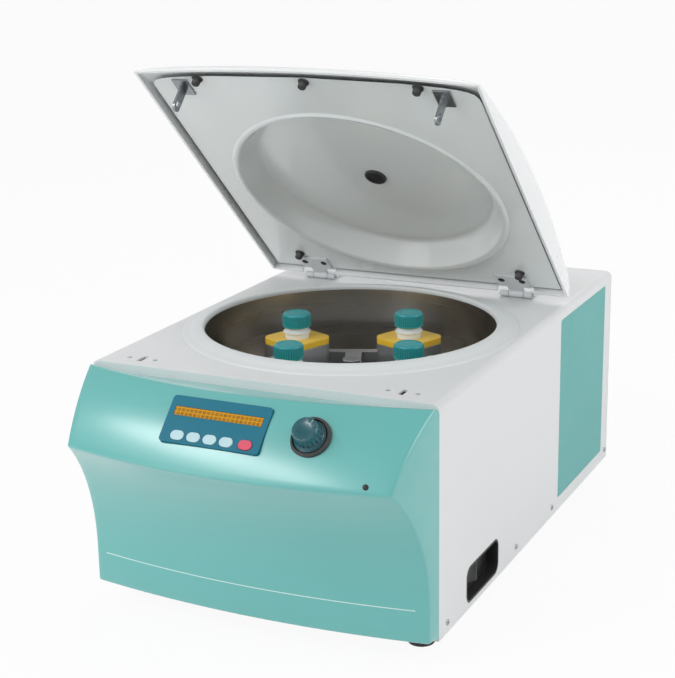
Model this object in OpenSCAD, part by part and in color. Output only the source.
// Refrigerated bench centrifuge with a hinged lid and a four-place swing-out rotor.
// Millimetres. +X is the operator's right, +Y points to the rear, +Z is up.
// The origin is on the bench, under the middle of the housing.
// The lid stands open and the buckets hang straight down, as the machine is loaded.

/* [Housing] */
// Width across the side walls
body_w = 401; // [380:1:440]
// Depth from the nose of the console to the rear panel
body_d = 695; // [670:1:760]
// Height of the deck above the bench
deck_h = 277; // [270:1:310]
// Height of the rubber feet
foot_h = 24; // [16:1:30]
// Radius of a rubber foot
foot_r = 18; // [14:0.5:24]
// Thickness of the moulded housing wall
wall = 3; // [2.5:0.5:4]
// Outer radius along the deck's side edges
edge_r = 8; // [5:0.5:12]
// Thickness of the base and rear sheet
sheet_t = 2; // [1.5:0.25:3]

/* [Front panel] */
// Straight front edge of the deck, behind the nose of the console
deck_setback = 102; // [95:1:115]
// Height of the console's knuckle edge above the bench
knuckle_h = 207; // [195:1:215]
// Drop of the console's crest below the deck
crest_drop = 2; // [1:0.5:5]
// Setback of the crest behind the nose, on the centre line
crest_setback = 61; // [55:1:66]
// Turning of the console's face from crest to knuckle, in degrees
console_turn = 30; // [16:1:40]
// Height of the front panel's lower edge above the bench
skirt_z = 28; // [26:0.5:34]
// Height above the bench where the hollow under the console ends
hollow_z = 70; // [60:1:90]
// Setback of the lower front behind the knuckle, at the corners
hollow_setback = 58; // [45:1:64]
// Forward bow of the crest
crest_bow = 35; // [20:1:38]
// Forward bow of the knuckle
knuckle_bow = 27; // [15:1:32]
// Forward bow of the lower edge
skirt_bow = 17; // [8:1:24]
// Inward draft of the cheeks, in degrees
cheek_draft = 12; // [6:0.5:15]
// Wall of the front panel
panel_wall = 4; // [3:0.5:5]
// Depth of the finger channel between crest and deck
channel_depth = 8; // [4:0.5:12]

/* [Keypad and knob] */
// Width of the keypad
keypad_w = 113; // [105:1:124]
// Height of the keypad along the console
keypad_l = 52; // [48:1:58]
// Keypad centre, left of the centre line
keypad_x = -10; // [-16:1:-6]
// Keypad thickness
keypad_t = 6.5; // [6:0.5:8]
// Corner radius of the keypad
keypad_r = 4; // [2:0.5:8]
// Length of the display window
display_w = 100; // [90:1:102]
// Height of the display window
display_l = 10; // [8:0.5:12]
// Length of a key
key_w = 15; // [12:0.5:16]
// Height of a key
key_l = 10.5; // [9:0.5:12]
// Spacing of the four pale keys
key_pitch = 18.5; // [17:0.5:20]
// Travel of a key
key_travel = 0.8; // [0.4:0.1:1]
// Knob centre, right of the centre line
knob_x = 92; // [86:1:98]
// Radius of the knob
knob_r = 17; // [14:0.5:20]
// Height of the knob
knob_h = 16; // [12:0.5:20]
// Radius of the knob's shaft
knob_shaft_r = 3; // [2.5:0.25:4]

/* [Chamber] */
// Radius of the bowl
bowl_r = 167; // [160:1:169]
// Chamber centre in front of the middle of the housing
chamber_y = -19.5; // [-24:0.5:-12]
// Height of the bowl's floor above the bench
bowl_floor_z = 127; // [120:1:130]
// Bowl sheet
bowl_t = 1.5; // [1:0.25:2]
// Radius between the bowl's wall and floor
bowl_corner_r = 26; // [15:1:35]
// Outer radius of the seal ring
seal_r = 192; // [186:1:194]
// Height of the seal ring above the deck
seal_h = 7; // [5:0.5:8]
// Thickness of the insulation under the floor
insulation_t = 15; // [10:1:17]
// Outer radius of the insulation
insulation_r = 186; // [180:1:187]
// Thickness of the steel guard ring
guard_t = 4; // [3:0.5:5]

/* [Rotor] */
// Radius from the spindle to the bucket pivots
pivot_r = 94; // [88:1:96]
// Height of the bucket pivots above the bench
pivot_z = 218; // [210:1:222]
// Depth of a bucket below its pivots
bucket_drop = 66; // [56:1:68]
// Radius of a bucket's body
bucket_r = 27; // [25:0.5:28]
// Half width of a bucket's square collar
collar_half = 30; // [28.5:0.5:31]
// Radius of a trunnion pin
trunnion_r = 5; // [4:0.25:6]
// Radius of a screw cap
cap_r = 17; // [15:0.5:18]
// Height of a screw cap
cap_h = 17; // [14:0.5:20]
// Radius of a sample tube
tube_r = 14.5; // [12:0.5:15.5]
// Length of a sample tube with its cap
tube_l = 116; // [108:1:118]
// Angle of the first bucket from the operator's right, in degrees
rotor_turn = -22; // [-45:1:0]
// Radius of the spindle
spindle_r = 8; // [6:0.5:10]

/* [Lid] */
// Distance from hinge axis to the lid's front corners
lid_l = 427; // [415:1:432]
// Half width of the lid
lid_half_w = 198.5; // [196:0.5:199]
// Opening angle as shown, in degrees
lid_open = 43; // [30:1:60]
// Hinge axis behind the middle of the housing
hinge_y = 174.6; // [170:0.2:180]
// Hinge axis above the deck
hinge_rise = 4.5; // [4.2:0.1:6]
// Spacing of the two hinges
hinge_gap = 264; // [240:1:290]
// Greatest thickness of the lid above the hinge axis
lid_t = 57; // [50:1:66]
// Distance of the thickest place from the hinge axis
lid_peak = 180; // [150:1:210]
// Thickness of the lid's front nose
lid_nose = 6; // [5:0.5:9]
// Fall of the lid from its thickest place to its rear edge
lid_rear_fall = 30; // [20:1:34]
// Forward bow of the lid's front edge
lid_bow = 12; // [6:1:16]
// Rim of the lid's dish
dish_r = 163; // [155:1:164]
// Depth of the dish
dish_depth = 28; // [22:1:30]

/* [Side panels] */
// Length of a side panel along the machine
side_l = 182; // [160:1:190]
// Height of a side panel
side_h = 224; // [200:1:226]
// Thickness of a side panel
side_t = 3; // [2.5:0.5:4]

/* [Hidden] */
$fn = 96;

// Clearances
slip = 0.3;
bearing_gap = 0.05;
overcut = 1;

// Housing
half_w = body_w / 2;
half_d = body_d / 2;
deck_front_y = -half_d + deck_setback;
rear_t = 2.5;
housing_rear_y = half_d - rear_t;
inner_half_w = half_w - wall;
base_top_z = foot_h + sheet_t;
deck_under_z = deck_h - wall;
hinge_z = deck_h + hinge_rise;
foot_x = half_w - 36;
foot_front_y = deck_front_y + 40;
foot_rear_y = half_d - 45;
screw_z = foot_h + 12;
screw_r = 3.6;
screw_hole_r = 1.8;
screw_ys = [deck_front_y + 23, chamber_y + 7, chamber_y + 136, housing_rear_y - 7];
side_y = housing_rear_y - 24 - side_l / 2;
side_z = foot_h + 16 + side_h / 2;
side_flange = 5;

// Mains switch in its recess, and mains inlet
recess_y = deck_front_y + 126;
recess_z = foot_h + 27;
recess_l = 98;
recess_h = 42;
recess_r = 12;
recess_depth = 26;
recess_lip = 3;
recess_sink = 14;
rocker_l = 30;
rocker_h = 22;
rocker_t = 13;
rocker_at = -16;
rocker_tilt = 8;
inlet_x = -150;
inlet_z = 66;
inlet_w = 28;
inlet_h = 21;

// Refrigeration
compressor_x = -105;
compressor_y = 258;
fan_x = 100;
fan_z = 150;
fan_r = 66;

// Console geometry on the centre line
crest_z = deck_h - crest_drop;
crest_y = -half_d + crest_setback;
console_drop = crest_z - knuckle_h;
console_chord = sqrt(pow(crest_setback, 2) + pow(console_drop, 2));
console_slope = atan2(console_drop, crest_setback);
console_r = console_chord / (2 * sin(console_turn / 2));
crest_angle = console_slope - console_turn / 2;

// Chamber
bowl_outer_r = bowl_r + bowl_t;
flange_r = bowl_r + 11;
deck_hole_r = bowl_outer_r + 1.5;
guard_r = insulation_r + slip + guard_t;
floor_under_z = bowl_floor_z - bowl_t;
spindle_hole_r = spindle_r + 6;

// Drive
plate_z = 62;
plate_t = 4;
motor_r = 52;
motor_top_z = floor_under_z - insulation_t - 6;
motor_bore_z = motor_top_z - 34;
damper_r = 13;
damper_circle = 82;

// Rotor
hub_r = 26;
hub_low_z = pivot_z - 21;
hub_top_z = pivot_z + 4;
collar_low_z = pivot_z - 11;
collar_top_z = pivot_z + 20;
adapter_top_z = collar_top_z + 8;
tube_low_z = deck_h - 1 - tube_l;
bucket_low_z = pivot_z - bucket_drop;
boss_gap = 2.5;
boss_t = 8;
cap_skirt_z = deck_h - 1 - cap_h;

// Lid, in its own frame: u runs forward from the hinge axis and v runs up when it is closed
liner_v = hinge_rise;
liner_t = 2.5;
lid_rim_v = 3 - hinge_rise;
lid_wall = 3;
lid_rear_u = 6;
liner_half_w = lid_half_w - lid_wall - 6;
liner_rear_u = 12;
liner_front_u = lid_l - lid_wall - 5;
dish_u = hinge_y - chamber_y;
hinge_x = hinge_gap / 2;
hinge_pin_r = 2.5;
knuckle_r = 4.1;
lock_x = 152;
lock_y = deck_front_y + 24;
hook_u = hinge_y - lock_y;
hook_w = 12;
hook_t = 3;
hook_drop = 28;
bolt_r = 2.5;
bolt_z = hinge_z - hook_drop + 9;

// Places of the keypad and knob along the console's tangent at the keypad
keypad_s = 37.5;
keypad_proud = 0.4;
keypad_frame = 2.5;
display_pocket = 2;
knob_seat = -7;
knob_boss_r = knob_r + 5;
knob_up = 3;
key_row = -17.8;
display_row = 9;
key_places = [for (i = [0:3]) -36.8 + i * key_pitch, -36.8 + 3 * key_pitch + 21.3];

// Angle of the console's face at a distance s below the crest
function face_angle(s) = crest_angle + s / console_r * 180 / PI;
// Point [y, z] of the face at a distance s below the crest, on the centre line
function face_y(s) = crest_y - console_r * (sin(face_angle(s)) - sin(crest_angle));
function face_z(s) = crest_z - console_r * (cos(crest_angle) - cos(face_angle(s)));
keypad_angle = face_angle(keypad_s);

// Forward bow of the panel at a height z
function bow_at(z) = z < knuckle_h
  ? skirt_bow + (knuckle_bow - skirt_bow) * (z - skirt_z) / (knuckle_h - skirt_z)
  : knuckle_bow + (crest_bow - knuckle_bow) * (z - knuckle_h) / (crest_z - knuckle_h);

// Side profile on the centre line as [y, z], from the crest down to the lower edge
console_steps = 8;
hollow_steps = 9;
hollow_span = knuckle_h - hollow_z;
hollow_half = atan2(hollow_setback, hollow_span);
hollow_turn = 2 * hollow_half;
hollow_r = hollow_span / sin(hollow_turn);
console_arc = console_r * console_turn * PI / 180;
face_points = [
  for (i = [0:console_steps]) let (s = console_arc * i / console_steps) [face_y(s), face_z(s)]
];
hollow_points = [
  for (i = [1:hollow_steps]) let (
    a = hollow_turn * (1 - i / hollow_steps),
    z = hollow_z + hollow_r * sin(a),
    y_end = -half_d + knuckle_bow + hollow_setback - hollow_r * (1 - cos(a))
  ) [y_end - bow_at(z), z]
];
skirt_point = [-half_d + knuckle_bow + hollow_setback - skirt_bow, skirt_z];
front_curve = concat(face_points, hollow_points, [skirt_point]);

// Unit normal of an open line at its point i, to the left of its direction
function line_dir(pts, i) = let (
  a = pts[max(i - 1, 0)],
  b = pts[min(i + 1, len(pts) - 1)],
  d = b - a
) d / norm(d);
function inset_line(pts, t) = [
  for (i = [0:len(pts) - 1]) let (d = line_dir(pts, i)) pts[i] + t * [-d[1], d[0]]
];

// Solid swept across the machine from a profile that bows forward in plan.
// curve is the bowed front line; behind is the list of points that stay straight.
bow_stations = 20;
module bowed_solid(curve, behind, reach) {
  n_curve = len(curve);
  ring = n_curve + len(behind);
  pts = [
    for (j = [0:bow_stations]) let (x = -reach + 2 * reach * j / bow_stations, f = pow(x / half_w, 2))
      for (i = [0:ring - 1])
        i < n_curve
          ? [x, curve[i][0] + bow_at(curve[i][1]) * f, curve[i][1]]
          : [x, behind[i - n_curve][0], behind[i - n_curve][1]]
  ];
  sides = [
    for (j = [0:bow_stations - 1]) for (i = [0:ring - 1]) let (
      k = (i + 1) % ring,
      a = j * ring + i,
      b = j * ring + k,
      c = (j + 1) * ring + k,
      d = (j + 1) * ring + i
    ) each [[a, c, b], [a, d, c]]
  ];
  first = [[for (i = [0:ring - 1]) i]];
  last = [[for (i = [0:ring - 1]) bow_stations * ring + ring - 1 - i]];
  polyhedron(points = pts, faces = concat(sides, first, last));
}

// Plan outline of the front panel between its drafted cheeks, drawn in by t
module cheek_plan(t, back) {
  run = half_d + deck_front_y + overcut;
  nose = half_w - t - run * tan(cheek_draft);
  linear_extrude(height = deck_h + overcut)
    polygon([
      [-half_w + t, back], [-half_w + t, deck_front_y], [-nose, deck_front_y - run],
      [nose, deck_front_y - run], [half_w - t, deck_front_y], [half_w - t, back]
    ]);
}

// Frame on the console: origin on the face at distance s below the crest, local Y up the slope
module on_console(s) {
  translate([0, face_y(s), face_z(s)])
    rotate([keypad_angle, 0, 0])
      children();
}

// Frame of the lid, open as shown: local Y is -u and local Z is v
module in_lid() {
  translate([0, hinge_y, hinge_z])
    rotate([-lid_open, 0, 0])
      children();
}

module rounded_rect(w, l, r) {
  square([w, l - 2 * r], center = true);
  square([w - 2 * r, l], center = true);
  for (x = [-1, 1])
    for (y = [-1, 1])
      translate([x * (w / 2 - r), y * (l / 2 - r)])
        circle(r = r);
}

module stadium(w, l) {
  square([w - l, l], center = true);
  for (x = [-1, 1])
    translate([x * (w - l) / 2, 0])
      circle(d = l);
}

// Outline of the housing seen from the front, drawn in by t
module housing_outline(t) {
  r = edge_r - t;
  top = deck_h - t;
  side = half_w - t;
  translate([-side, foot_h])
    square([2 * side, top - r - foot_h]);
  translate([-side + r, foot_h])
    square([2 * (side - r), top - foot_h]);
  for (x = [-1, 1])
    translate([x * (side - r), top - r])
      circle(r = r);
}

// Chassis

module base_plate() {
  plate_half = inner_half_w - slip;
  front = deck_front_y + slip;
  rear = housing_rear_y - slip;
  flange = 16;
  color("#c9cdd0")
  difference() {
    translate([-plate_half, front, foot_h])
      cube([2 * plate_half, rear - front, flange]);
    translate([-plate_half + sheet_t, front + sheet_t, base_top_z])
      cube([2 * (plate_half - sheet_t), rear - front - 2 * sheet_t, flange]);
    for (i = [0:6])
      translate([-60 + i * 20, chamber_y, foot_h])
        cube([8, 90, 3 * sheet_t], center = true);
    for (i = [0:4])
      translate([70 + i * 20, housing_rear_y - 90, foot_h])
        cube([8, 70, 3 * sheet_t], center = true);
    // side flanges are lower beside the side panels and the switch recess
    for (x = [-1, 1])
      translate([x * plate_half, side_y, foot_h + flange])
        cube([4 * sheet_t, side_l + 2 * side_flange + 2, 16], center = true);
    translate([plate_half, recess_y, base_top_z + flange / 2])
      cube([4 * sheet_t, recess_l + 2 * recess_lip + 2, flange], center = true);
    for (y = screw_ys)
      translate([0, y, screw_z])
        rotate([0, 90, 0])
          cylinder(r = screw_hole_r, h = body_w, center = true);
  }
}

module rubber_feet() {
  color("#2b2c2e")
  for (x = [-foot_x, foot_x])
    for (y = [foot_front_y, foot_rear_y])
      translate([x, y, 0])
        rotate_extrude()
          polygon([
            [5, 0], [foot_r - 4, 0], [foot_r - 3, 1.5], [foot_r, foot_h - 3],
            [foot_r, foot_h], [0, foot_h], [0, 6], [5, 6]
          ]);
}

module housing_shell() {
  frame_t = 2.5;
  lip_low = crest_z - channel_depth - 8;
  rib_half = inner_half_w - side_t - 1;
  color("#eef0f0")
  difference() {
    union() {
      translate([0, housing_rear_y, 0])
        rotate([90, 0, 0])
          linear_extrude(height = housing_rear_y - deck_front_y)
            difference() {
              housing_outline(0);
              housing_outline(wall);
              translate([-inner_half_w, foot_h - overcut])
                square([2 * inner_half_w, 20]);
            }
      // ribs under the deck, in front of and behind the hinges
      for (y = [hinge_y - 1.5, hinge_y + 34])
        translate([-rib_half, y, deck_under_z - 12])
          cube([2 * rib_half, 3, 12 + slip]);
      // return flanges and lip behind the front panel
      for (x = [-1, 1])
        translate([x * (inner_half_w - 4), deck_front_y + frame_t / 2, (foot_h + deck_under_z) / 2 + 14])
          cube([8 + slip, frame_t, deck_under_z - foot_h - 28], center = true);
      translate([-inner_half_w, deck_front_y, lip_low])
        cube([2 * inner_half_w, frame_t, deck_under_z - lip_low + slip]);
    }
    translate([0, chamber_y, deck_under_z - 20])
      cylinder(r = deck_hole_r, h = 40);
    for (x = [-lock_x, lock_x]) {
      translate([x, lock_y, deck_h - wall / 2])
        cube([6, 18, 2 * wall], center = true);
      for (side = [-1, 1])
        translate([x + side * 16, lock_y, deck_under_z - overcut])
          cylinder(r = 3.2, h = wall + 2 * overcut);
    }
    for (x = [-1, 1])
      translate([x * half_w, side_y, side_z])
        rotate([90, 0, 90])
          linear_extrude(height = 4 * wall, center = true)
            rounded_rect(side_l, side_h, 4);
    translate([half_w, recess_y, recess_z])
      rotate([90, 0, 90])
        linear_extrude(height = 4 * wall, center = true)
          rounded_rect(recess_l, recess_h, recess_r);
    for (x = [-1, 1])
      for (y = screw_ys)
        translate([x * half_w, y, screw_z])
          rotate([0, 90, 0])
            cylinder(r = screw_hole_r, h = 5 * wall, center = true);
  }
}

// Teal plate that fills the window in a side wall, with a flange behind the wall
module side_panel(x) {
  color("#63bdb2")
  translate([x * (inner_half_w - side_t / 2 - slip), side_y, side_z])
    rotate([90, 0, 90]) {
      linear_extrude(height = side_t, center = true)
        rounded_rect(side_l + 2 * side_flange, side_h + 2 * side_flange, 4);
      translate([0, 0, x * (side_t + wall + slip) / 2])
        linear_extrude(height = wall + slip, center = true)
          rounded_rect(side_l - 2 * slip, side_h - 2 * slip, 4 - slip);
    }
}

module side_panel_left() { side_panel(-1); }
module side_panel_right() { side_panel(1); }

module front_panel() {
  back_y = deck_front_y;
  channel_z = crest_z - channel_depth;
  low = skirt_z + panel_wall;
  high = channel_z - panel_wall;
  inset = inset_line(front_curve, panel_wall);
  inner_curve = concat(
    [for (p = inset) if (p[1] > low + overcut && p[1] < high - overcut) p],
    [[skirt_point[0] + panel_wall, low]]);
  color("#86cdc3")
  difference() {
    intersection() {
      difference() {
        bowed_solid(front_curve, [[back_y, skirt_z], [back_y, channel_z]], half_w + overcut);
        difference() {
          intersection() {
            bowed_solid(inner_curve, [[back_y + overcut, low], [back_y + overcut, high]], half_w + overcut);
            cheek_plan(panel_wall, back_y + 2 * overcut);
          }
          // frame behind the keypad, and boss behind the knob
          on_console(keypad_s)
            translate([keypad_x, 0, keypad_proud - keypad_t - keypad_frame])
              linear_extrude(height = 2 * keypad_t)
                rounded_rect(keypad_w + 6, keypad_l + 6, keypad_r);
          on_console(keypad_s)
            translate([knob_x, knob_up, knob_seat - panel_wall])
              cylinder(r = knob_boss_r, h = 4 * panel_wall);
        }
      }
      cheek_plan(0, back_y);
    }
    // keypad pocket and the window behind its keys
    on_console(keypad_s)
      translate([keypad_x, 0, keypad_proud - keypad_t]) {
        linear_extrude(height = 20)
          rounded_rect(keypad_w + 2 * slip, keypad_l + 2 * slip, keypad_r + slip);
        translate([0, 0, -20])
          linear_extrude(height = 30)
            rounded_rect(keypad_w - 5, keypad_l - 5, 2);
      }
    // hole for the knob's shaft, and the seat that sinks its skirt
    on_console(keypad_s)
      translate([knob_x, knob_up, -30])
        cylinder(r = knob_shaft_r + bearing_gap, h = 60);
    on_console(keypad_s)
      translate([knob_x, knob_up, knob_seat])
        cylinder(r = knob_r + 1.5, h = 30);
  }
}

module rear_panel() {
  spoke = 5;
  color("#dfe2e2")
  difference() {
    translate([0, half_d, 0])
      rotate([90, 0, 0])
        linear_extrude(height = rear_t)
          difference() {
            housing_outline(0);
            // fan guard: rings of slots between spokes
            translate([fan_x, fan_z])
              for (k = [1:5])
                difference() {
                  circle(r = 12 * k + 8);
                  circle(r = 12 * k);
                  for (a = [0:60:120])
                    rotate(a)
                      square([200, spoke], center = true);
                }
            // air slots beside the compressor
            for (i = [0:8])
              translate([compressor_x, 110 + i * 14])
                stadium(110, 6);
          }
    translate([inlet_x, half_d, inlet_z])
      cube([inlet_w + 2 * slip, 4 * rear_t, inlet_h + 2 * slip], center = true);
  }
}

// Refrigeration and drive

module chamber_seal() {
  color("#d3d6d6")
  translate([0, chamber_y, deck_h])
    rotate_extrude($fn = 128)
      difference() {
        union() {
          polygon([
            [bowl_r + 3, 0], [seal_r, 0], [seal_r, 1.2], [seal_r - 7, 2.2],
            [bowl_r + 12, seal_h - 1.6], [bowl_r + 3, seal_h - 1]
          ]);
          translate([bowl_r + 3, seal_h - 3.5])
            circle(r = 3.5);
          translate([bowl_r - 0.5, bowl_t])
            square([6, seal_h - 3.5 - bowl_t]);
        }
        // step that sits over the bowl's flange
        translate([bowl_r - 4, -overcut])
          square([flange_r + slip - bowl_r + 4, overcut + bowl_t + 0.01]);
      }
}

module chamber_bowl() {
  color("#b9bcbf")
  translate([0, chamber_y, 0])
    rotate_extrude($fn = 128)
      difference() {
        union() {
          translate([0, floor_under_z])
            square([bowl_outer_r - bowl_corner_r, bowl_t]);
          translate([bowl_r, bowl_floor_z + bowl_corner_r - bowl_t])
            square([bowl_t, deck_h + bowl_t - bowl_floor_z - bowl_corner_r + bowl_t]);
          translate([bowl_r, deck_h])
            square([flange_r - bowl_r, bowl_t]);
          translate([bowl_outer_r - bowl_corner_r, floor_under_z + bowl_corner_r])
            intersection() {
              difference() {
                circle(r = bowl_corner_r);
                circle(r = bowl_corner_r - bowl_t);
              }
              translate([0, -bowl_corner_r])
                square([bowl_corner_r, bowl_corner_r]);
            }
        }
        translate([0, floor_under_z - overcut])
          square([spindle_hole_r, 10]);
      }
}

module chamber_insulation() {
  inner = bowl_outer_r + slip;
  bottom = floor_under_z - insulation_t;
  color("#e6dcb8")
  translate([0, chamber_y, 0])
    rotate_extrude($fn = 128)
      difference() {
        translate([spindle_hole_r + 4, bottom])
          square([insulation_r - spindle_hole_r - 4, deck_under_z - 1 - bottom]);
        translate([0, floor_under_z + bowl_corner_r])
          square([inner, deck_h]);
        translate([0, floor_under_z - slip])
          square([bowl_outer_r - bowl_corner_r, deck_h]);
        translate([bowl_outer_r - bowl_corner_r, floor_under_z + bowl_corner_r])
          circle(r = bowl_corner_r + slip);
      }
}

module guard_ring() {
  color("#9a9fa3")
  translate([0, chamber_y, 0])
    rotate_extrude($fn = 128)
      polygon([
        [insulation_r - 12, floor_under_z - insulation_t - 3], [guard_r, floor_under_z - insulation_t - 3],
        [guard_r, deck_under_z - 14], [guard_r - guard_t, deck_under_z - 14],
        [guard_r - guard_t, floor_under_z - insulation_t - slip],
        [insulation_r - 12, floor_under_z - insulation_t - slip]
      ]);
  // legs that stand on the base
  color("#9a9fa3")
  for (a = [45:90:315])
    translate([0, chamber_y, 0])
      rotate(a)
        translate([guard_r - 12, -10, base_top_z])
          cube([10, 20, floor_under_z - insulation_t - 3 - base_top_z]);
}

module motor() {
  color("#5c6063")
  translate([0, chamber_y, 0])
    rotate_extrude()
      polygon([
        [0, base_top_z + 8], [motor_r - 10, base_top_z + 8], [motor_r - 4, base_top_z + 14],
        [motor_r - 4, plate_z + plate_t], [motor_r + 8, plate_z + plate_t],
        [motor_r + 8, plate_z + plate_t + 4], [motor_r, plate_z + plate_t + 4],
        [motor_r, motor_top_z - 10], [motor_r - 20, motor_top_z - 4], [22, motor_top_z - 4],
        [22, motor_top_z], [spindle_r + bearing_gap, motor_top_z],
        [spindle_r + bearing_gap, motor_bore_z], [0, motor_bore_z]
      ]);
}

module motor_plate() {
  color("#8d9296")
  translate([0, chamber_y, plate_z])
    difference() {
      linear_extrude(height = plate_t)
        rounded_rect(2 * damper_circle + 8, 2 * damper_circle + 8, 24);
      translate([0, 0, -overcut])
        cylinder(r = motor_r - 4 + slip, h = plate_t + 2 * overcut);
      for (x = [-1, 1])
        translate([x * (damper_circle - 12), 0, -overcut])
          linear_extrude(height = plate_t + 2 * overcut)
            rounded_rect(14, 60, 6);
    }
}

module motor_dampers() {
  at = damper_circle - damper_r - 2;
  color("#2f3032")
  for (x = [-1, 1])
    for (y = [-1, 1])
      translate([x * at, chamber_y + y * at, base_top_z])
        rotate_extrude()
          polygon([
            [0, 0], [damper_r, 0], [damper_r, 4], [damper_r - 3, 10], [damper_r - 3, 26],
            [damper_r, plate_z - base_top_z - 4], [damper_r, plate_z - base_top_z], [0, plate_z - base_top_z]
          ]);
}

module compressor() {
  can_r = 58;
  low = base_top_z + 10;
  color("#1e1f21")
  translate([compressor_x, compressor_y, 0]) {
    rotate_extrude()
      polygon([
        [0, low], [can_r - 18, low], [can_r - 6, low + 6], [can_r, low + 20], [can_r, low + 70],
        [can_r + 3, low + 72], [can_r + 3, low + 76], [can_r, low + 78], [can_r, low + 115],
        [can_r - 8, low + 134], [can_r - 26, low + 144], [0, low + 148]
      ]);
    for (a = [45:90:315])
      rotate(a)
        translate([can_r + 4, 0, base_top_z]) {
          cylinder(r = 9, h = 12);
          translate([-22, -6, 10])
            cube([22, 12, 3]);
        }
    // suction and discharge stubs
    translate([can_r - 8, 12, low + 110])
      rotate([0, 75, 0])
        cylinder(r = 4, h = 22);
    translate([can_r - 8, -16, low + 96])
      rotate([0, 75, 0])
        cylinder(r = 3, h = 22);
  }
}

module condenser() {
  fins = 15;
  block_w = 150;
  block_h = 150;
  block_t = 26;
  y = half_d - rear_t - 68;
  x = fan_x + 4;
  z = fan_z;
  color("#a7774b")
  for (i = [0:4])
    translate([x, y, z - 56 + i * 28])
      rotate([0, 90, 0])
        cylinder(r = 4, h = block_w, center = true);
  color("#b4b8ba")
  for (i = [0:fins - 1])
    translate([x - block_w / 2 + 2 + i * (block_w - 4) / (fins - 1), y, z])
      cube([2, block_t, block_h], center = true);
  color("#8d9296")
  translate([x, y, (base_top_z + z - block_h / 2) / 2])
    cube([block_w - 30, block_t - 8, z - block_h / 2 - base_top_z], center = true);
}

module fan_shroud() {
  size = 2 * fan_r + 12;
  depth = 20;
  color("#26282a")
  translate([fan_x, half_d - rear_t, fan_z])
    rotate([90, 0, 0]) {
      difference() {
        linear_extrude(height = depth)
          rounded_rect(size, size, 8);
        translate([0, 0, -overcut])
          cylinder(r = fan_r + 1.5, h = depth + 2 * overcut);
      }
      // motor carrier on the side away from the rear panel
      translate([0, 0, depth])
        difference() {
          union() {
            cylinder(r = 22, h = 14);
            for (a = [45:90:315])
              rotate(a)
                translate([0, -4, 0])
                  cube([fan_r + 8, 8, 4]);
          }
          translate([0, 0, -overcut])
            cylinder(r = 3 + bearing_gap, h = 10);
        }
    }
}

module fan_rotor() {
  blades = 7;
  color("#3a3d40")
  translate([fan_x, half_d - rear_t - 3, fan_z])
    rotate([90, 0, 0]) {
      cylinder(r = 20, h = 13);
      cylinder(r = 3, h = 24);
      for (i = [0:blades - 1])
        rotate(i * 360 / blades)
          translate([18, 0, 6.5])
            rotate([32, 0, 0])
              translate([0, -11, -1])
                cube([fan_r - 20, 22, 2]);
    }
}

module circuit_boards() {
  sensor_t = 13;
  color("#2e6b4a") {
    // display and key board under the console
    on_console(keypad_s)
      translate([keypad_x, 0, keypad_proud - keypad_t - keypad_frame - 9.6])
        linear_extrude(height = 1.6)
          square([keypad_w - 2, keypad_l - 2], center = true);
    on_console(keypad_s)
      for (x = [-1, 1])
        for (y = [-1, 1])
          translate([keypad_x + x * (keypad_w / 2 - 3), 12 * y, keypad_proud - keypad_t - keypad_frame - 8])
            cylinder(r = 2, h = 8);
    // motor supply board, standing on the base
    translate([-170, deck_front_y + 12, base_top_z]) {
      translate([0, 0, 8])
        cube([140, 1.6, 95]);
      for (x = [12, 118])
        translate([x, -5, 0])
          cube([12, 5, 30]);
      translate([20, 1.6, 30])
        cube([30, 14, 44]);
      for (x = [72, 98])
        translate([x, 1.6, 60])
          rotate([-90, 0, 0])
            cylinder(r = 10, h = 16);
    }
  }
  // turn sensor behind the knob
  color("#2e6b4a")
  on_console(keypad_s)
    translate([knob_x, knob_up, knob_seat - panel_wall - slip - sensor_t])
      difference() {
        linear_extrude(height = sensor_t)
          rounded_rect(20, 20, 2);
        translate([0, 0, 2])
          cylinder(r = knob_shaft_r + bearing_gap, h = sensor_t);
      }
}

module mains_inlet() {
  color("#1c1d1f")
  translate([inlet_x, half_d, inlet_z]) {
    difference() {
      union() {
        translate([-inlet_w / 2, -24, -inlet_h / 2])
          cube([inlet_w, 24, inlet_h]);
        translate([-inlet_w / 2 - 3, -rear_t - slip - 2, -inlet_h / 2 - 3])
          cube([inlet_w + 6, 2, inlet_h + 6]);
      }
      translate([-inlet_w / 2 + 2.5, -17, -inlet_h / 2 + 2.5])
        cube([inlet_w - 5, 20, inlet_h - 5]);
    }
    for (x = [-1, 0, 1])
      translate([x * 7, -18, x == 0 ? 3 : -3])
        translate([-1, 0, -2])
          cube([2, 14, 4]);
  }
}

// Keypad and controls

module keypad() {
  color("#1d6674")
  on_console(keypad_s)
    translate([keypad_x, 0, keypad_proud - keypad_t])
      difference() {
        linear_extrude(height = keypad_t)
          rounded_rect(keypad_w, keypad_l, keypad_r);
        translate([0, display_row, keypad_t - display_pocket])
          linear_extrude(height = 5)
            square([display_w, display_l], center = true);
        translate([0, display_row, -overcut])
          linear_extrude(height = 10)
            square([display_w - 4, display_l - 3], center = true);
        for (x = key_places)
          translate([x, key_row, -overcut])
            linear_extrude(height = 10)
              stadium(key_w + 2 * slip, key_l + 2 * slip);
      }
}

module display_window() {
  color("#d9931f")
  on_console(keypad_s)
    translate([keypad_x, display_row, keypad_proud - display_pocket])
      linear_extrude(height = display_pocket - 0.2)
        square([display_w - slip, display_l - slip], center = true);
}

module key(i, tint) {
  color(tint)
  on_console(keypad_s)
    translate([keypad_x + key_places[i], key_row, keypad_proud - keypad_t]) {
      linear_extrude(height = keypad_t + 1)
        stadium(key_w, key_l);
      translate([0, 0, -1.2 - slip])
        linear_extrude(height = 1.2 + slip)
          stadium(key_w - 3, key_l - 3);
    }
}

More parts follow.
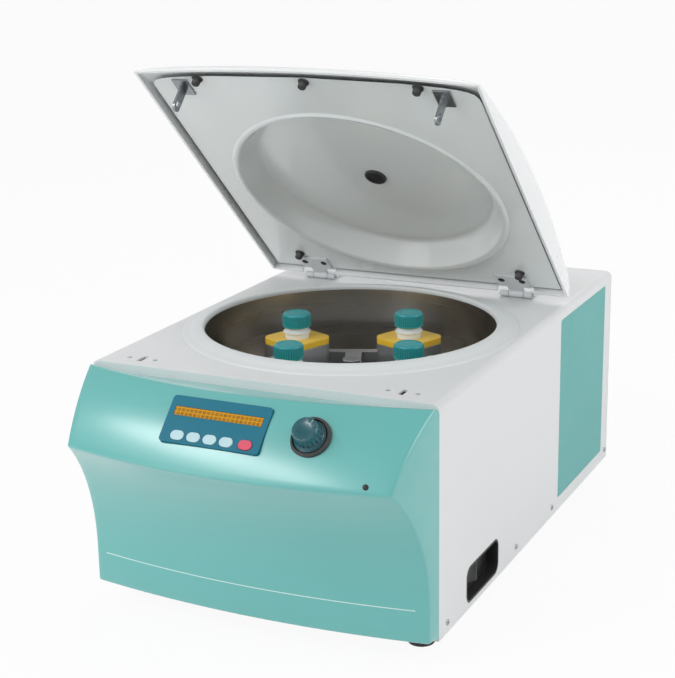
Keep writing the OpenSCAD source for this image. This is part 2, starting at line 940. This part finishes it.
module key_1() { key(0, "#c9e3e6"); }
module key_2() { key(1, "#c9e3e6"); }
module key_3() { key(2, "#c9e3e6"); }
module key_4() { key(3, "#c9e3e6"); }
module key_5() { key(4, "#c8372d"); }

module knob() {
  grips = 18;
  color("#17474d")
  on_console(keypad_s)
    translate([knob_x, knob_up, knob_seat + slip]) {
      difference() {
        rotate_extrude()
          polygon([
            [0, 0], [knob_r, 0], [knob_r, 3], [knob_r - 2.5, 4.5], [knob_r - 3.5, knob_h + 2],
            [knob_r - 5, knob_h + 4], [7, knob_h + 3], [0, knob_h + 2.2]
          ]);
        for (i = [0:grips - 1])
          rotate(i * 360 / grips)
            translate([knob_r - 2.2, 0, 6])
              cylinder(r = 1.6, h = 30, $fn = 24);
      }
      translate([0, 0, -14])
        cylinder(r = knob_shaft_r, h = 14 + overcut);
    }
}

// Mains switch in the right-hand side wall

module switch_recess() {
  color("#141516")
  translate([half_w, recess_y, recess_z])
    rotate([90, 0, 90])
      difference() {
        union() {
          translate([0, 0, -recess_depth])
            linear_extrude(height = recess_depth)
              rounded_rect(recess_l - 2 * slip, recess_h - 2 * slip, recess_r - slip);
          translate([0, 0, -wall - 2 - slip])
            linear_extrude(height = 2)
              rounded_rect(recess_l + 2 * recess_lip, recess_h + 2 * recess_lip, recess_r + recess_lip);
        }
        translate([0, 0, -recess_sink])
          linear_extrude(height = recess_depth)
            rounded_rect(recess_l - 5, recess_h - 5, recess_r - 2.5);
        // pocket of the rocker
        translate([rocker_at, 0, -recess_depth + 3])
          linear_extrude(height = recess_depth)
            square([rocker_l + 1, rocker_h + 1], center = true);
      }
}

module power_switch() {
  color("#2c2e30")
  translate([half_w - recess_sink, recess_y + rocker_at, recess_z])
    rotate([90, 0, 90])
      rotate([0, -rocker_tilt, 0])
        difference() {
          intersection() {
            linear_extrude(height = rocker_t, center = true)
              square([rocker_l, rocker_h], center = true);
            rotate([90, 0, 0])
              cylinder(r = rocker_l / 2, h = rocker_h + 2, center = true);
          }
          translate([0, 0, 1.5 * rocker_l / 2])
            rotate([90, 0, 0])
              cylinder(r = 4 * rocker_l / 6, h = rocker_h + 2, center = true);
        }
}

module housing_screws() {
  grip = wall + 5;
  color("#3a3c3e")
  for (x = [-1, 1])
    for (y = screw_ys)
      translate([x * half_w, y, screw_z])
        rotate([0, x * 90, 0]) {
          translate([0, 0, -grip])
            cylinder(r = screw_hole_r - 0.1, h = grip + 0.5);
          difference() {
            rotate_extrude()
              polygon([[0, 0], [screw_r, 0], [screw_r, 0.5], [screw_r - 1, 1.5], [0, 1.8]]);
            for (a = [0, 90])
              rotate(a)
                translate([0, 0, 1.8])
                  cube([3.6, 0.8, 1.8], center = true);
          }
        }
}

// Lid locks

module lid_locks() {
  low = hinge_z - hook_drop - 4;
  color("#4a4d50")
  for (x = [-lock_x, lock_x])
    translate([x, lock_y, low])
      difference() {
        translate([-9, -12, 0])
          cube([20, 24, deck_under_z - low]);
        translate([-3, -9, 3])
          cube([9, 18, deck_under_z - low]);
        translate([-20, 0, bolt_z - low])
          rotate([0, 90, 0])
            cylinder(r = bolt_r + bearing_gap, h = 20);
      }
}

module lock_bar() {
  rest = -3.4;
  arm_x = -22;
  bar_y = -20;
  color("#b7babd") {
    for (x = [-lock_x, lock_x]) {
      translate([x + arm_x, lock_y, bolt_z])
        rotate([0, 90, 0])
          cylinder(r = bolt_r, h = rest - arm_x);
      translate([x + arm_x - 5, lock_y + bar_y, bolt_z - 4])
        cube([5, -bar_y + 4, 8]);
    }
    translate([-lock_x + arm_x - 5, lock_y + bar_y, bolt_z - 5])
      cube([2 * lock_x + 5, 3, 10]);
  }
}

// Hinges

module hinge_bases() {
  w = 40;
  cheek = 10;
  color("#e9ebeb")
  for (x = [-hinge_x, hinge_x])
    translate([x, hinge_y, 0])
      difference() {
        union() {
          translate([-w / 2, 5.5, deck_h])
            cube([w, 24, 2.5]);
          for (side = [-1, 1])
            translate([side * (w / 2 - cheek / 2), 0, 0]) {
              translate([-cheek / 2, 0, deck_h])
                cube([cheek, 7, 2.5]);
              translate([0, 0, hinge_z])
                rotate([0, 90, 0])
                  cylinder(r = knuckle_r, h = cheek, center = true);
            }
        }
        translate([0, 0, hinge_z])
          rotate([0, 90, 0])
            cylinder(r = hinge_pin_r + bearing_gap, h = w + 2, center = true);
        for (side = [-1, 1])
          translate([side * 12, 22, deck_h - overcut])
            cylinder(r = 2, h = 6);
      }
}

module hinge_pins() {
  color("#8f9396")
  for (x = [-hinge_x, hinge_x])
    translate([x, hinge_y, hinge_z])
      rotate([0, 90, 0])
        cylinder(r = hinge_pin_r, h = 42, center = true);
}

module hinge_leaves() {
  w = 19;
  color("#e9ebeb")
  in_lid()
    for (x = [-hinge_x, hinge_x])
      translate([x, 0, 0])
        difference() {
          union() {
            rotate([0, 90, 0])
              cylinder(r = knuckle_r, h = w, center = true);
            translate([-w / 2, -14, liner_v - 2.5])
              cube([w, 14, 2.5]);
            translate([-20, -38, liner_v - 2.5])
              cube([40, 25, 2.5]);
          }
          rotate([0, 90, 0])
            cylinder(r = hinge_pin_r + bearing_gap, h = w + 2, center = true);
          for (side = [-1, 1])
            translate([side * 13, -28, liner_v - 5])
              cylinder(r = 2, h = 8);
        }
}

// Lid

// Height of the shell's outer face above the hinge axis at a distance u forward of it
function lid_top(u) = u > lid_peak
  ? lid_t - (lid_t - lid_nose) * pow((u - lid_peak) / (lid_l - lid_peak), 2)
  : lid_t - lid_rear_fall * pow((lid_peak - u) / lid_peak, 2);

// Domed solid of the lid drawn in by t: stations run along u, and each is a rounded arch
lid_stations = 18;
arch_steps = 16;
module lid_dome(t, low) {
  half = lid_half_w - t;
  u_first = lid_rear_u + t;
  u_last = lid_l - t;
  pts = [
    for (j = [0:lid_stations]) let (u = u_first + (u_last - u_first) * j / lid_stations)
      for (i = [0:arch_steps]) let (
        a = 180 * i / arch_steps,
        c = cos(a),
        x = half * sign(c) * pow(abs(c), 0.34),
        rise = (lid_top(u) - t - low) * pow(abs(sin(a)), 0.34),
        front = lid_bow * (1 - pow(x / half, 2)) * pow(u / lid_l, 4)
      ) [x, -(u + front), low + max(rise, 0)]
  ];
  ring = arch_steps + 1;
  sides = [
    for (j = [0:lid_stations - 1]) for (i = [0:ring - 1]) let (
      k = (i + 1) % ring,
      a = j * ring + i,
      b = j * ring + k,
      c = (j + 1) * ring + k,
      d = (j + 1) * ring + i
    ) each [[a, c, b], [a, d, c]]
  ];
  first = [[for (i = [0:ring - 1]) i]];
  last = [[for (i = [0:ring - 1]) lid_stations * ring + ring - 1 - i]];
  polyhedron(points = pts, faces = concat(sides, first, last));
}

module lid_shell() {
  color("#f4f5f5")
  in_lid() {
    difference() {
      lid_dome(0, lid_rim_v);
      translate([0, 0, -0.01])
        lid_dome(lid_wall, lid_rim_v - overcut);
      for (x = [-hinge_x, hinge_x])
        translate([x, -lid_rear_u, 0])
          cube([46, 4 * lid_wall, 2 * liner_v + 4], center = true);
    }
    // posts that carry the liner
    for (x = [-1, 1])
      for (u = [30, 362])
        translate([x * (liner_half_w - 12), -u, liner_v + liner_t])
          cylinder(r = 5, h = lid_top(u) - liner_v - liner_t - lid_wall - 2);
  }
}

module lid_liner() {
  dish_wall = 2;
  color("#b9bdbf")
  in_lid() {
    difference() {
      intersection() {
        translate([-liner_half_w, -liner_front_u - lid_bow, liner_v])
          cube([2 * liner_half_w, liner_front_u + lid_bow - liner_rear_u, liner_t]);
        lid_dome(lid_wall + 5, lid_rim_v - overcut);
      }
      translate([0, -dish_u, liner_v - overcut])
        cylinder(r = dish_r - 1, h = liner_t + 2 * overcut);
    }
    translate([0, -dish_u, liner_v])
      rotate_extrude($fn = 128)
        polygon([
          [0, dish_depth], [dish_r - 26, dish_depth], [dish_r - 20, dish_depth - 3],
          [dish_r - 9, 5], [dish_r - 7, 0], [dish_r - 5, -2], [dish_r - 2, -2.6],
          [dish_r + 1, -1.6], [dish_r + 2, 0], [dish_r + 2, liner_t], [dish_r - 4, liner_t],
          [dish_r - 7, 6.5], [dish_r - 18, dish_depth - 1.5], [dish_r - 25, dish_depth + dish_wall],
          [0, dish_depth + dish_wall]
        ]);
  }
}

module sight_glass() {
  color("#1b1d1f")
  in_lid()
    translate([0, -dish_u, liner_v + dish_depth - 3])
      rotate_extrude()
        polygon([[0, 0.6], [8, 0.6], [9, 0], [12, 0], [13, 1.2], [13, 3], [0, 3]]);
}

module lid_hooks() {
  color("#54585b")
  in_lid()
    for (x = [-lock_x, lock_x])
      translate([x - hook_t / 2, -hook_u, 0]) {
        difference() {
          rotate([90, 0, 90])
            linear_extrude(height = hook_t)
              union() {
                translate([-hook_w / 2, -hook_drop + hook_w / 2])
                  square([hook_w, hook_drop - hook_w / 2 + liner_v - 2]);
                translate([0, -hook_drop + hook_w / 2])
                  circle(d = hook_w);
              }
          translate([-overcut, 0, -hook_drop + 9])
            rotate([90, 0, 90])
              linear_extrude(height = hook_t + 2 * overcut)
                square([7, 7], center = true);
        }
        translate([-8, -13, liner_v - 2])
          cube([16 + hook_t, 26, 2]);
      }
}

module lid_buffers() {
  places = [[-128, 412], [0, 414], [128, 412], [-hinge_x - 14, 46], [hinge_x + 14, 46]];
  buffer_h = liner_v + hinge_rise - slip;
  color("#1f2022")
  in_lid()
    for (p = places)
      translate([p[0], -p[1], liner_v])
        rotate([180, 0, 0])
          rotate_extrude()
            polygon([
              [0, 0], [6, 0], [6, 1.4], [4.8, 2.6], [4.4, buffer_h - 0.8], [3.6, buffer_h], [0, buffer_h]
            ]);
}

// Rotor

module drive_shaft() {
  color("#cfd2d4")
  translate([0, chamber_y, 0])
    rotate_extrude()
      polygon([
        [0, motor_bore_z + 1], [spindle_r, motor_bore_z + 1], [spindle_r, hub_low_z - 6],
        [spindle_r + 3, hub_low_z - 6], [spindle_r + 3, hub_low_z],
        [spindle_r, hub_low_z], [spindle_r, hub_top_z - 6],
        [spindle_r - 3, hub_top_z - 6], [spindle_r - 3, hub_top_z + 10], [0, hub_top_z + 10]
      ]);
}

module rotor_cross() {
  arm_t = 14;
  arm_half = 10;
  bar_at = (pivot_r + collar_half + boss_gap + boss_t / 2) / sqrt(2);
  bar_half = (pivot_r - collar_half - boss_gap) / sqrt(2);
  boss_in = collar_half + boss_gap;
  color("#c3c6c8")
  translate([0, chamber_y, 0])
    rotate(rotor_turn)
      difference() {
        union() {
          translate([0, 0, hub_low_z])
            cylinder(r = hub_r, h = hub_top_z - hub_low_z);
          for (i = [0:3])
            rotate(45 + 90 * i) {
              difference() {
                translate([hub_r - 6, -arm_half, pivot_z - arm_t])
                  cube([bar_at - hub_r + 6, 2 * arm_half, arm_t + 3]);
                translate([hub_r + 24, 0, pivot_z - arm_t - overcut])
                  linear_extrude(height = arm_t + 6)
                    stadium(30, 9);
              }
              translate([bar_at - 6, -bar_half, pivot_z - arm_t])
                cube([12, 2 * bar_half, arm_t + 3]);
            }
          for (i = [0:3])
            rotate(90 * i)
              for (side = [-1, 1])
                translate([pivot_r, side * (boss_in + boss_t / 2), pivot_z])
                  rotate([90, 0, 0])
                    cylinder(r = trunnion_r + 6, h = boss_t, center = true);
        }
        for (i = [0:3])
          rotate(90 * i)
            translate([0, 0, pivot_z - 40]) {
              translate([pivot_r - collar_half - 4, -boss_in, 0])
                cube([100, 2 * boss_in, 80]);
              translate([hub_r + 9, -cap_r - 2, 0])
                cube([40, 2 * cap_r + 4, 80]);
            }
        translate([0, 0, hub_low_z - overcut])
          cylinder(r = spindle_r + bearing_gap, h = 60);
      }
  // trunnion pins
  color("#c3c6c8")
  translate([0, chamber_y, pivot_z])
    rotate(rotor_turn)
      for (i = [0:3])
        rotate(90 * i)
          for (side = [-1, 1])
            translate([pivot_r, side * (collar_half + 1), 0])
              rotate([90, 0, 0])
                cylinder(r = trunnion_r, h = 7, center = true);
}

module rotor_nut() {
  color("#8f9396")
  translate([0, chamber_y, hub_top_z])
    difference() {
      union() {
        cylinder(r = 14, h = 5);
        cylinder(r = 11, h = 16, $fn = 6);
      }
      translate([0, 0, -overcut])
        cylinder(r = spindle_r - 3 + bearing_gap, h = 12);
    }
}

// Frame of bucket i: origin on the spindle axis at bench height, local X towards the bucket
module at_bucket(i) {
  translate([0, chamber_y, 0])
    rotate(rotor_turn + 90 * (i - 1))
      translate([pivot_r, 0, 0])
        children();
}

module bucket(i) {
  skin = 2;
  color("#a9adb0")
  at_bucket(i)
    difference() {
      union() {
        rotate_extrude()
          polygon([
            [0, bucket_low_z], [bucket_r - 19, bucket_low_z], [bucket_r - 11, bucket_low_z + 4],
            [bucket_r - 3, bucket_low_z + 13], [bucket_r, bucket_low_z + 24],
            [bucket_r, collar_top_z - 1], [0, collar_top_z - 1]
          ]);
        translate([0, 0, collar_low_z])
          linear_extrude(height = collar_top_z - collar_low_z)
            rounded_rect(2 * collar_half, 2 * collar_half, 11);
      }
      rotate_extrude()
        polygon([
          [0, bucket_low_z + skin], [bucket_r - 19, bucket_low_z + skin],
          [bucket_r - 11 - skin * 0.4, bucket_low_z + 4 + skin],
          [bucket_r - 3 - skin, bucket_low_z + 14], [bucket_r - skin, bucket_low_z + 25],
          [bucket_r - skin, collar_top_z + overcut], [0, collar_top_z + overcut]
        ]);
      for (side = [-1, 1])
        translate([0, side * (collar_half - 1.3), pivot_z])
          rotate([90, 0, 0])
            cylinder(r = trunnion_r + bearing_gap, h = 3, center = true);
    }
}

module adapter(i) {
  outer = bucket_r - 2 - slip;
  low = bucket_low_z + 26;
  color("#e3bb2a")
  at_bucket(i)
    difference() {
      union() {
        translate([0, 0, low])
          cylinder(r = outer, h = collar_top_z - low);
        translate([0, 0, collar_top_z + slip])
          linear_extrude(height = adapter_top_z - collar_top_z - slip)
            rounded_rect(2 * collar_half + 2, 2 * collar_half + 2, 14);
        translate([0, 0, collar_top_z - 1])
          cylinder(r = outer, h = 3);
      }
      translate([0, 0, low - overcut])
        cylinder(r = tube_r + slip, h = 120);
    }
}

module tube(i) {
  color("#e9eef0")
  at_bucket(i)
    difference() {
      rotate_extrude()
        polygon([
          [0, tube_low_z], [3, tube_low_z + 0.5], [tube_r, tube_low_z + 15], [tube_r, cap_skirt_z - 8],
          [tube_r + 1.5, cap_skirt_z - 7], [tube_r + 1.5, cap_skirt_z - 5],
          [tube_r - 0.5, cap_skirt_z - 4], [tube_r - 0.5, deck_h - 4], [0, deck_h - 4]
        ]);
      rotate_extrude()
        polygon([
          [0, tube_low_z + 2], [2, tube_low_z + 2], [tube_r - 1.5, tube_low_z + 16],
          [tube_r - 2, deck_h], [0, deck_h]
        ]);
    }
}

module cap(i) {
  ribs = 24;
  color("#1b8f93")
  at_bucket(i)
    difference() {
      rotate_extrude()
        polygon([
          [0, cap_skirt_z], [cap_r - 1, cap_skirt_z], [cap_r, cap_skirt_z + 1],
          [cap_r, deck_h - 3], [cap_r - 2, deck_h - 1], [0, deck_h - 1]
        ]);
      translate([0, 0, cap_skirt_z - overcut])
        cylinder(r = tube_r - 0.5 + slip, h = deck_h - 4 + slip - cap_skirt_z + overcut);
      for (a = [0:360 / ribs:359])
        rotate(a)
          translate([cap_r + 0.5, 0, cap_skirt_z + 2])
            cylinder(r = 1, h = 30, $fn = 16);
    }
}

module bucket_1() { bucket(1); }
module bucket_2() { bucket(2); }
module bucket_3() { bucket(3); }
module bucket_4() { bucket(4); }
module adapter_1() { adapter(1); }
module adapter_2() { adapter(2); }
module adapter_3() { adapter(3); }
module adapter_4() { adapter(4); }
module tube_1() { tube(1); }
module tube_2() { tube(2); }
module tube_3() { tube(3); }
module tube_4() { tube(4); }
module cap_1() { cap(1); }
module cap_2() { cap(2); }
module cap_3() { cap(3); }
module cap_4() { cap(4); }

base_plate();
rubber_feet();
housing_shell();
front_panel();
rear_panel();
side_panel_left();
side_panel_right();
chamber_seal();
chamber_bowl();
chamber_insulation();
guard_ring();
motor();
motor_plate();
motor_dampers();
compressor();
condenser();
fan_shroud();
fan_rotor();
circuit_boards();
keypad();
display_window();
key_1();
key_2();
key_3();
key_4();
key_5();
knob();
switch_recess();
power_switch();
mains_inlet();
housing_screws();
lid_locks();
lock_bar();
hinge_bases();
hinge_pins();
hinge_leaves();
lid_shell();
lid_liner();
sight_glass();
lid_hooks();
lid_buffers();
drive_shaft();
rotor_cross();
rotor_nut();
bucket_1();
bucket_2();
bucket_3();
bucket_4();
adapter_1();
adapter_2();
adapter_3();
adapter_4();
tube_1();
tube_2();
tube_3();
tube_4();
cap_1();
cap_2();
cap_3();
cap_4();
